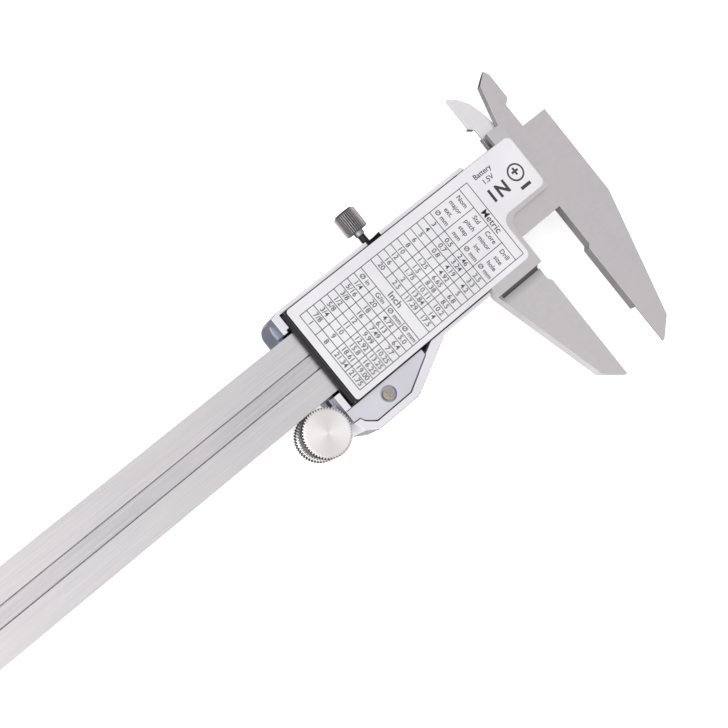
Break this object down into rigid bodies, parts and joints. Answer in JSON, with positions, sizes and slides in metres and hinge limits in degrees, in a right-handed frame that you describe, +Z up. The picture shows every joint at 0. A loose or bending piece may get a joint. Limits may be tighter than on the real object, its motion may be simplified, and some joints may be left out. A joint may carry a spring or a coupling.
{
  "type": "electronic caliper",
  "caption": "Electronic caliper with outside and inside jaws, depth rod, thumb roller and lock screw, its back plate printed with a thread table.",
  "frame": {"origin": "middle of the bounding box in plan, on the surface that the display side rests on", "axes": "+X from the depth rod end of the beam to the fixed jaw, +Y from the outside jaws to the inside jaws, +Z up out of the beam's back face"},
  "size_m": [0.2486, 0.076, 0.015],
  "materials": {
    "beam_steel": "brushed lengthwise, satin",
    "slider_steel": "satin ground steel",
    "rod_steel": "brushed",
    "label_plate": "pale satin plate with black print",
    "housing_metal": "satin, light grey",
    "cover_grey": "satin grey with a lilac cast",
    "roller_steel": "turned face, knurled rim",
    "lock_dark": "dark, straight knurl",
    "screw_steel": "bright plated",
    "spring_steel": "blue-grey spring strip",
    "brass_spring": "plain",
    "strip_green": "circuit board",
    "scale_black": "black foil with white graduations",
    "resin_black": "resin drop",
    "window_clear": "clear moulded window",
    "lcd_grey": "grey-green display glass",
    "holder_white": "white moulding",
    "pad_rubber": "silicone rubber",
    "cell_steel": "nickel plated can",
    "door_grey": "moulded, with grip ridges",
    "button_grey": "satin moulded",
    "button_yellow": "satin moulded"
  },
  "bodies": {
    "beam": {"beam": "beam_steel", "stator_strip": "strip_green", "scale_foil": "scale_black", "end_stop": "beam_steel", "end_stop_screws": "screw_steel"},
    "slider": {"slider_frame": "slider_steel", "back_label": "label_plate", "depth_rod": "rod_steel", "depth_rod_rivets": "screw_steel", "front_housing": "housing_metal", "back_cover": "cover_grey", "case_screws": "screw_steel", "cover_screw": "screw_steel", "main_board": "strip_green", "chip_resin": "resin_black", "lcd_window": "window_clear", "lcd_glass": "lcd_grey", "lcd_holder": "holder_white", "contact_strips": "pad_rubber", "button_pad": "pad_rubber", "battery": "cell_steel", "battery_contact_minus": "brass_spring", "battery_contact_plus": "brass_spring", "gib_strip": "brass_spring", "gib_screws": "screw_steel", "roller_spring": "spring_steel"},
    "thumb_roller": {"thumb_roller": "roller_steel"},
    "lock_shoe": {"lock_shoe": "brass_spring"},
    "lock_screw": {"lock_screw": "lock_dark"},
    "battery_door": {"battery_door": "door_grey"},
    "button_power": {"button_power": "button_grey"},
    "button_zero": {"button_zero": "button_yellow"},
    "button_unit": {"button_unit": "button_grey"}
  },
  "joints": [
    {"name": "slider_slide", "type": "slide", "parent": "beam", "child": "slider", "axis": [-1, 0, 0], "range_m": [-0.0127, 0.1373]},
    {"name": "roller_turn", "type": "hinge", "parent": "slider", "child": "thumb_roller", "pos_m": [0.0324, -0.00367, 0.0095], "axis": [0, 0, 1], "range_deg": [-1400, 140]},
    {"name": "lock_feed", "type": "slide", "parent": "slider", "child": "lock_shoe", "axis": [0, -1, 0], "range_m": [-0.0002, 0.0002]},
    {"name": "lock_turn", "type": "hinge", "parent": "lock_shoe", "child": "lock_screw", "pos_m": [0.068, 0.02605, 0.0115], "axis": [0, -1, 0], "range_deg": [-181, 181]},
    {"name": "battery_door_slide", "type": "slide", "parent": "slider", "child": "battery_door", "axis": [-1, 0, 0], "range_m": [0, 0.0145]},
    {"name": "button_power_press", "type": "slide", "parent": "slider", "child": "button_power", "axis": [0, 0, 1], "range_m": [0, 0.0005], "stiffness_N_per_m": 1500},
    {"name": "button_zero_press", "type": "slide", "parent": "slider", "child": "button_zero", "axis": [0, 0, 1], "range_m": [0, 0.0005], "stiffness_N_per_m": 1500},
    {"name": "button_unit_press", "type": "slide", "parent": "slider", "child": "button_unit", "axis": [0, 0, 1], "range_m": [0, 0.0005], "stiffness_N_per_m": 1500}
  ],
  "couplings": [
    {"joint": "roller_turn", "follows": "slider_slide", "rad_per_m": -175.44},
    {"joint": "lock_turn", "follows": "lock_feed", "rad_per_m": 15708}
  ]
}
